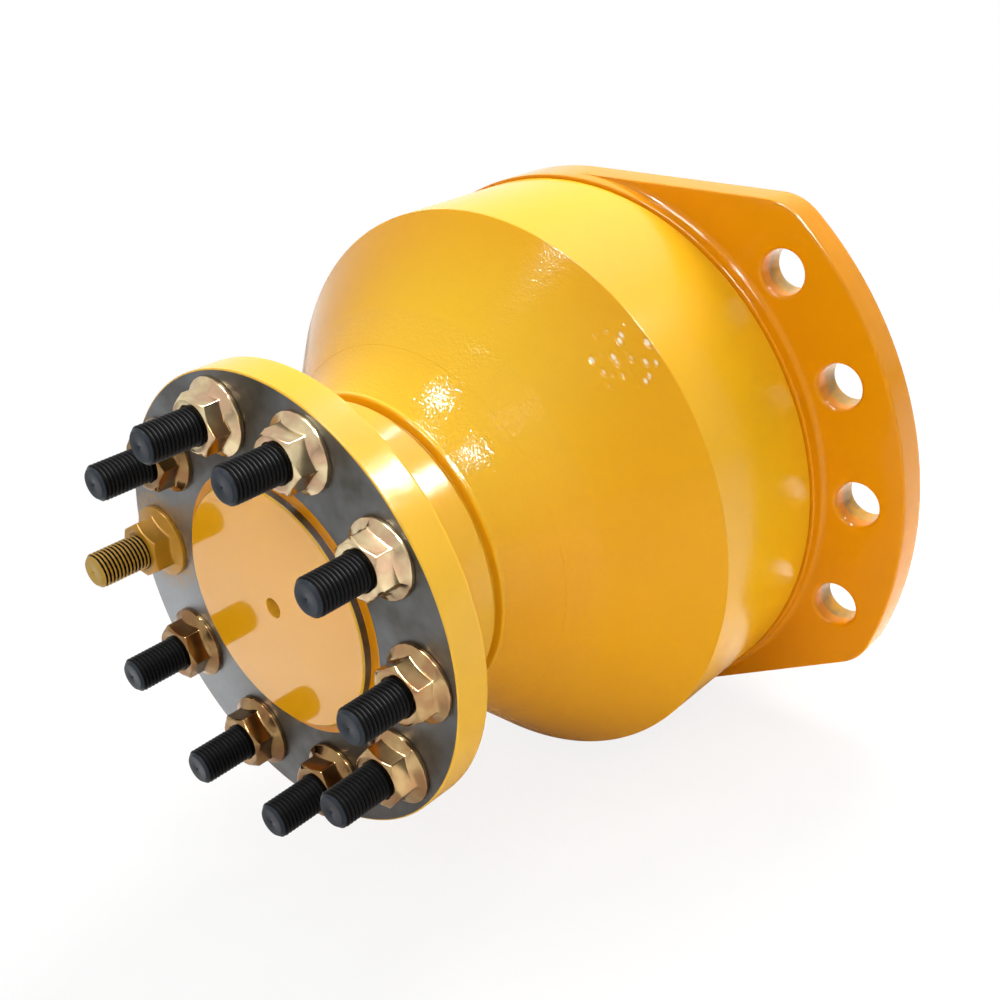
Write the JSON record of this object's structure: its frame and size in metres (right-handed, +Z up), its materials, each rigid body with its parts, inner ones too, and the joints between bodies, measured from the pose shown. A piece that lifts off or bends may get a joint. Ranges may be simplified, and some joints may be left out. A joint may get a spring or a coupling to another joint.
{
  "type": "radial piston hydraulic motor",
  "caption": "Yellow painted radial piston hydraulic wheel motor with a studded wheel flange, a conical bearing housing and a mounting plate with two drilled ears.",
  "frame": {"origin": "on the shaft axis, in the rear face of the mounting plate", "axes": "-Y along the shaft towards the wheel flange, +Z up, X along the two ears"},
  "size_m": [0.478, 0.4525, 0.377],
  "materials": {
    "paint": "gloss",
    "bare_steel": "satin",
    "black_oxide_steel": "satin",
    "yellow_zinc_steel": "gloss",
    "ground_steel": "satin",
    "zinc_steel": "satin",
    "copper": "satin",
    "bronze": "satin",
    "brass": "satin",
    "nitrile_rubber": "matte",
    "ptfe": "matte"
  },
  "bodies": {
    "motor_body": {"bearing_housing": "paint", "mounting_plate": "paint", "seal_case": "ground_steel", "seal_lip": "nitrile_rubber", "seal_spring": "ground_steel", "front_bearing_cup": "ground_steel", "rear_bearing_cup": "ground_steel", "cam_ring": "ground_steel", "cam_dowels": "ground_steel", "distributor": "bronze", "distributor_rings": "ptfe", "distributor_springs": "ground_steel", "distributor_pin": "ground_steel", "distribution_cover": "paint", "cover_screws": "black_oxide_steel", "cover_o_ring": "nitrile_rubber", "housing_o_ring": "nitrile_rubber", "drain_plug": "zinc_steel", "drain_plug_washer": "copper"},
    "rotor": {"wheel_shaft": "bare_steel", "wheel_studs": "black_oxide_steel", "wheel_nuts": "yellow_zinc_steel", "front_bearing_cone": "ground_steel", "rear_bearing_cone": "ground_steel", "bearing_tab_washer": "ground_steel", "bearing_nut": "ground_steel", "cylinder_block": "ground_steel", "block_circlip": "ground_steel"},
    "front_roller_set": {"front_bearing_cage": "brass", "front_bearing_rollers": "ground_steel"},
    "rear_roller_set": {"rear_bearing_cage": "brass", "rear_bearing_rollers": "ground_steel"},
    "piston_set_1": {"piston_1": "ground_steel", "piston_ring_1": "ptfe"},
    "roller_set_1": {"piston_roller_1": "ground_steel"},
    "piston_set_2": {"piston_2": "ground_steel", "piston_ring_2": "ptfe"},
    "roller_set_2": {"piston_roller_2": "ground_steel"},
    "piston_set_3": {"piston_3": "ground_steel", "piston_ring_3": "ptfe"},
    "roller_set_3": {"piston_roller_3": "ground_steel"},
    "piston_set_4": {"piston_4": "ground_steel", "piston_ring_4": "ptfe"},
    "roller_set_4": {"piston_roller_4": "ground_steel"},
    "piston_set_5": {"piston_5": "ground_steel", "piston_ring_5": "ptfe"},
    "roller_set_5": {"piston_roller_5": "ground_steel"},
    "piston_set_6": {"piston_6": "ground_steel", "piston_ring_6": "ptfe"},
    "roller_set_6": {"piston_roller_6": "ground_steel"},
    "piston_set_7": {"piston_7": "ground_steel", "piston_ring_7": "ptfe"},
    "roller_set_7": {"piston_roller_7": "ground_steel"},
    "piston_set_8": {"piston_8": "ground_steel", "piston_ring_8": "ptfe"},
    "roller_set_8": {"piston_roller_8": "ground_steel"}
  },
  "joints": [
    {"name": "wheel_spin", "type": "hinge", "parent": "motor_body", "child": "rotor", "pos_m": [0, 0, 0], "axis": [0, 1, 0], "continuous": true},
    {"name": "front_cage_spin", "type": "hinge", "parent": "motor_body", "child": "front_roller_set", "pos_m": [0, -0.1775, 0], "axis": [0, 1, 0], "continuous": true},
    {"name": "rear_cage_spin", "type": "hinge", "parent": "motor_body", "child": "rear_roller_set", "pos_m": [0, -0.1045, 0], "axis": [0, 1, 0], "continuous": true},
    {"name": "piston_slide_1", "type": "slide", "parent": "rotor", "child": "piston_set_1", "axis": [0.9914, 0, 0.1305], "range_m": [0, 0.0142]},
    {"name": "roller_spin_1", "type": "hinge", "parent": "piston_set_1", "child": "roller_set_1", "pos_m": [0.1046, -0.033, 0.01377], "axis": [0, 1, 0], "continuous": true},
    {"name": "piston_slide_2", "type": "slide", "parent": "rotor", "child": "piston_set_2", "axis": [0.6088, 0, 0.7934], "range_m": [0, 0.0142]},
    {"name": "roller_spin_2", "type": "hinge", "parent": "piston_set_2", "child": "roller_set_2", "pos_m": [0.06422, -0.033, 0.0837], "axis": [0, 1, 0], "continuous": true},
    {"name": "piston_slide_3", "type": "slide", "parent": "rotor", "child": "piston_set_3", "axis": [-0.1305, 0, 0.9914], "range_m": [0, 0.0031]},
    {"name": "roller_spin_3", "type": "hinge", "parent": "piston_set_3", "child": "roller_set_3", "pos_m": [-0.01377, -0.033, 0.1046], "axis": [0, 1, 0], "continuous": true},
    {"name": "piston_slide_4", "type": "slide", "parent": "rotor", "child": "piston_set_4", "axis": [-0.7934, 0, 0.6088], "range_m": [0, 0.0031]},
    {"name": "roller_spin_4", "type": "hinge", "parent": "piston_set_4", "child": "roller_set_4", "pos_m": [-0.0837, -0.033, 0.06422], "axis": [0, 1, 0], "continuous": true},
    {"name": "piston_slide_5", "type": "slide", "parent": "rotor", "child": "piston_set_5", "axis": [-0.9914, 0, -0.1305], "range_m": [0, 0.0142]},
    {"name": "roller_spin_5", "type": "hinge", "parent": "piston_set_5", "child": "roller_set_5", "pos_m": [-0.1046, -0.033, -0.01377], "axis": [0, 1, 0], "continuous": true},
    {"name": "piston_slide_6", "type": "slide", "parent": "rotor", "child": "piston_set_6", "axis": [-0.6088, 0, -0.7934], "range_m": [0, 0.0142]},
    {"name": "roller_spin_6", "type": "hinge", "parent": "piston_set_6", "child": "roller_set_6", "pos_m": [-0.06422, -0.033, -0.0837], "axis": [0, 1, 0], "continuous": true},
    {"name": "piston_slide_7", "type": "slide", "parent": "rotor", "child": "piston_set_7", "axis": [0.1305, 0, -0.9914], "range_m": [0, 0.0031]},
    {"name": "roller_spin_7", "type": "hinge", "parent": "piston_set_7", "child": "roller_set_7", "pos_m": [0.01377, -0.033, -0.1046], "axis": [0, 1, 0], "continuous": true},
    {"name": "piston_slide_8", "type": "slide", "parent": "rotor", "child": "piston_set_8", "axis": [0.7934, 0, -0.6088], "range_m": [0, 0.0031]},
    {"name": "roller_spin_8", "type": "hinge", "parent": "piston_set_8", "child": "roller_set_8", "pos_m": [0.0837, -0.033, -0.06422], "axis": [0, 1, 0], "continuous": true}
  ],
  "couplings": [
    {"joint": "front_cage_spin", "follows": "wheel_spin", "ratio": 0.4545},
    {"joint": "rear_cage_spin", "follows": "wheel_spin", "ratio": 0.4513}
  ]
}
